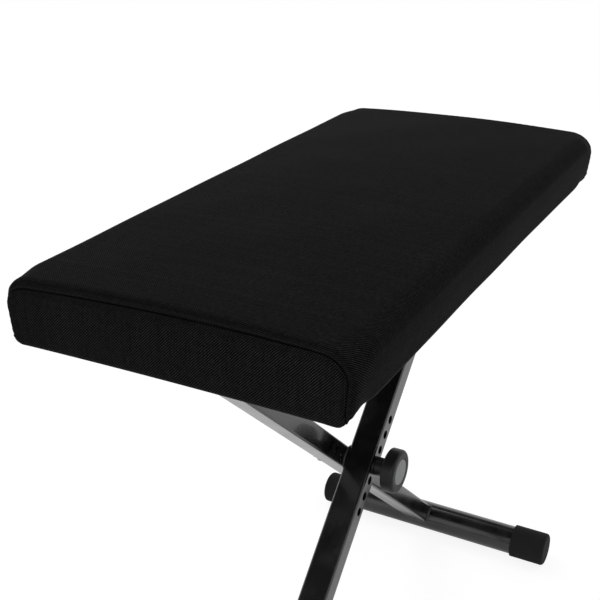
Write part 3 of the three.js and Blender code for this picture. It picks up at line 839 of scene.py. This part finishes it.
def sweep(name, path, radii, sides, closed=False):
    """A tube through the points of a path, with its own radius at each point."""
    path = np.array(path, float)
    count = len(path)
    ahead = np.roll(path, -1, axis=0) - np.roll(path, 1, axis=0)
    if not closed:
        ahead[0] = path[1] - path[0]
        ahead[-1] = path[-1] - path[-2]
    ahead /= np.linalg.norm(ahead, axis=1, keepdims=True)
    slanting = (0.31, 0.52, 0.79)
    side = np.cross(ahead[0], slanting)
    points, faces = [], []
    for i in range(count):
        side = side - ahead[i] * (side @ ahead[i])
        side /= np.linalg.norm(side)
        other = np.cross(ahead[i], side)
        for turn in np.linspace(0, 2 * math.pi, sides, endpoint=False):
            points.append(path[i] + radii[i] * (math.cos(turn) * side + math.sin(turn) * other))
    shift = 0
    if closed:
        start = points[0] - path[0]
        gaps = [np.linalg.norm(points[(count - 1) * sides + j] - path[-1] - start) for j in range(sides)]
        shift = int(np.argmin(gaps))
    for i in range(count if closed else count - 1):
        wraps = i == count - 1
        for j in range(sides):
            k = (j + 1) % sides
            here, there = i * sides, 0 if wraps else (i + 1) * sides
            turn = shift if wraps else 0
            faces.append((here + j, here + k, there + (k - turn) % sides, there + (j - turn) % sides))
    if not closed:
        faces.append(tuple(range(sides))[::-1])
        faces.append(tuple((count - 1) * sides + j for j in range(sides)))
    mesh = bpy.data.meshes.new(name)
    mesh.from_pydata([tuple(p) for p in points], [], faces)
    shade_smooth(mesh)
    return mesh


def join_meshes(name, meshes):
    made = bmesh.new()
    for mesh in meshes:
        made.from_mesh(mesh)
        bpy.data.meshes.remove(mesh)
    joined = bpy.data.meshes.new(name)
    made.to_mesh(joined)
    made.free()
    return joined


# Underside

def make_lining(board, board_bottom, lining):
    outline = rounded_rectangle(board.x + 2 * DUST_COVER_MARGIN, board.y + 2 * DUST_COVER_MARGIN,
                                BOARD_CORNER + DUST_COVER_MARGIN)
    top = board_bottom - LINING_GAP
    mesh = prism("dust_cover", outline, top - LINING_THICKNESS, top)
    mesh.materials.append(lining)
    piece = link("dust_cover", mesh)
    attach(piece, "seat")


def staple_places(board):
    """Middle and turn of each staple, in rows along the board's edges."""
    half_x, half_y = board.x / 2 - STAPLE_INSET, board.y / 2 - STAPLE_INSET
    for x in np.arange(-half_x + STAPLE_PITCH / 2, half_x, STAPLE_PITCH):
        yield from ((x, -half_y, 0), (x, half_y, 0))
    for y in np.arange(-half_y + STAPLE_PITCH / 2, half_y, STAPLE_PITCH):
        yield from ((-half_x, y, QUARTER), (half_x, y, QUARTER))


def make_staples(board, board_bottom, zinc):
    reach = STAPLE_CROWN / 2
    half_bend = STAPLE_BEND / 2
    bottom = board_bottom - LINING_GAP - LINING_THICKNESS - STAPLE_WIRE
    profile = [(-reach, STAPLE_LEG), (-reach, STAPLE_BEND), (half_bend - reach, 0), (reach - half_bend, 0),
               (reach, STAPLE_BEND), (reach, STAPLE_LEG)]
    meshes = []
    for x, y, turn in staple_places(board):
        path = [(x + s * math.cos(turn), y + s * math.sin(turn), bottom + h) for s, h in profile]
        meshes.append(sweep("staple", path, [STAPLE_WIRE] * len(path), STAPLE_SIDES))
    mesh = join_meshes("staples", meshes)
    mesh.materials.append(zinc)
    staples = link("staples", mesh)
    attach(staples, "seat")


def make_underside(lining, zinc):
    low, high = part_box("seat_board")
    make_lining(high - low, low.z, lining)
    make_staples(high - low, low.z, zinc)


# Weld beads where the arms meet their cross tubes

def weld_path(axis, away, tube_radius, middle_y):
    """Line where a rectangular arm meets a round tube. Axis is the tube's middle, away is along the arm."""
    across = Vector((-away.z, 0, away.x))
    outline = rounded_rectangle(ARM_WIDTH, ARM_DEPTH, ARM_CORNER, steps=5)
    closed = np.vstack([outline, outline[:1]])
    steps = np.linalg.norm(np.diff(closed, axis=0), axis=1)
    length = np.concatenate([[0], np.cumsum(steps)])
    count = int(length[-1] / (BEAD_RIPPLE / BEAD_RIPPLE_POINTS))
    points = []
    for at in np.linspace(0, length[-1], count, endpoint=False):
        y = np.interp(at, length, closed[:, 0])
        v = np.interp(at, length, closed[:, 1])
        point = axis + away * math.sqrt(tube_radius ** 2 - v ** 2) + across * v
        points.append((point.x, middle_y + y, point.z))
    return points, length[-1]


def make_welds(steel):
    for label, side in (("front_leg", -1), ("rear_leg", 1)):
        arm_low, arm_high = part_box(label + "_arm")
        middle_y = (arm_low.y + arm_high.y) / 2
        meshes = []
        for tube, radius, sense in (("_top_tube", TOP_TUBE_RADIUS, -1), ("_foot_tube", FOOT_TUBE_RADIUS, 1)):
            low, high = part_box(label + tube)
            axis = (low + high) / 2
            axis.y = 0
            away = Vector((-side * math.cos(LEG_SLOPE) * sense, 0, math.sin(LEG_SLOPE) * sense))
            path, length = weld_path(axis, away, radius, middle_y)
            turns = 2 * math.pi * round(length / BEAD_RIPPLE) / len(path)
            radii = [BEAD_RADIUS * (1 + BEAD_RIPPLE_SHARE * math.sin(i * turns)) for i in range(len(path))]
            meshes.append(sweep("bead", path, radii, BEAD_SIDES, closed=True))
        mesh = join_meshes(label + "_welds", meshes)
        mesh.materials.append(steel)
        piece = link(label + "_welds", mesh)
        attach(piece, label)


# Clamp knob

def lathe(name, profile, centre, steps=96):
    """A body of revolution about a line along Y. The profile of (radius, y) starts and ends on that line."""
    points, faces = [], []
    for turn in np.linspace(0, 2 * math.pi, steps, endpoint=False):
        for radius, y in profile:
            points.append((centre.x + radius * math.cos(turn), y, centre.z + radius * math.sin(turn)))
    count = len(profile)
    for i in range(steps):
        j = (i + 1) % steps
        for k in range(count - 1):
            faces.append((i * count + k, i * count + k + 1, j * count + k + 1, j * count + k))
    mesh = bpy.data.meshes.new(name)
    mesh.from_pydata(points, [], faces)
    made = bmesh.new()
    made.from_mesh(mesh)
    bmesh.ops.remove_doubles(made, verts=made.verts, dist=1e-6)
    bmesh.ops.dissolve_degenerate(made, edges=made.edges, dist=1e-7)
    bmesh.ops.recalc_face_normals(made, faces=made.faces)
    made.to_mesh(mesh)
    made.free()
    shade_smooth(mesh)
    return mesh


def make_knob(plastic):
    low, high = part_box("clamp_knob")
    badge_low, badge_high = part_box("knob_badge")
    radius = (high.x - low.x) / 2
    face, hub_end = low.y, high.y
    back = hub_end - HUB_LENGTH
    bore_end = hub_end - SCREW_BORE_DEPTH
    recess = badge_high.y + BADGE_FIT
    recess_radius = (badge_high.x - badge_low.x) / 2 + BADGE_FIT
    shoulder_y = back - KNOB_BACK_CONE - KNOB_BACK_ROUND
    lip = arc_points(recess_radius + KNOB_LIP, face + KNOB_LIP, KNOB_LIP, -2 * QUARTER, -QUARTER, 4)
    edge = arc_points(radius - KNOB_FACE_ROUND, face + KNOB_FACE_ROUND, KNOB_FACE_ROUND, -QUARTER, 0, 10)
    shoulder = arc_points(radius - KNOB_BACK_ROUND, shoulder_y, KNOB_BACK_ROUND, 0, KNOB_SHOULDER_TURN, 8)
    root = arc_points(HUB_RADIUS + HUB_FILLET, back + HUB_FILLET, HUB_FILLET, -QUARTER, -2 * QUARTER, 5)
    collar = arc_points(HUB_RADIUS - HUB_ROUND, hub_end - HUB_ROUND, HUB_ROUND, 0, QUARTER, 4)
    profile = [(0, recess), (recess_radius, recess), *lip, *edge, *shoulder, *root, *collar,
               (SCREW_BORE_RADIUS, hub_end), (SCREW_BORE_RADIUS, bore_end), (0, bore_end)]
    mesh = lathe("clamp_knob_grip", profile, (low + high) / 2)
    mesh.set_sharp_from_angle(angle=KNOB_EDGE_ANGLE)
    mesh.materials.append(plastic)
    knob = link("clamp_knob_grip", mesh)
    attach(knob, "knob")
    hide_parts("clamp_knob")


make_stage()
finishes = {
    "seat_fabric": woven_cover(),
    "plywood": stained_board(),
    "black_steel": black_steel(),
    "zinc_steel": zinc_steel(),
    "black_nylon": moulded("black_nylon", dark=0.008, light=0.012, roughness=0.5, grain_scale=1100.0,
                           grain=0.03 * MM),
    "black_rubber": moulded("black_rubber", dark=0.007, light=0.011, roughness=0.78, grain_scale=800.0,
                            grain=0.06 * MM, specular=0.2),
    "knob_plastic": moulded("knob_plastic", dark=0.005, light=0.008, roughness=0.42, grain_scale=1400.0,
                            grain=0.04 * MM, specular=0.25),
    "badge_plastic": badge_plate(),
}
dress_nodes(finishes)
make_cushion(finishes["seat_fabric"])
make_underside(spun_lining(), finishes["zinc_steel"])
make_welds(finishes["black_steel"])
make_knob(finishes["knob_plastic"])
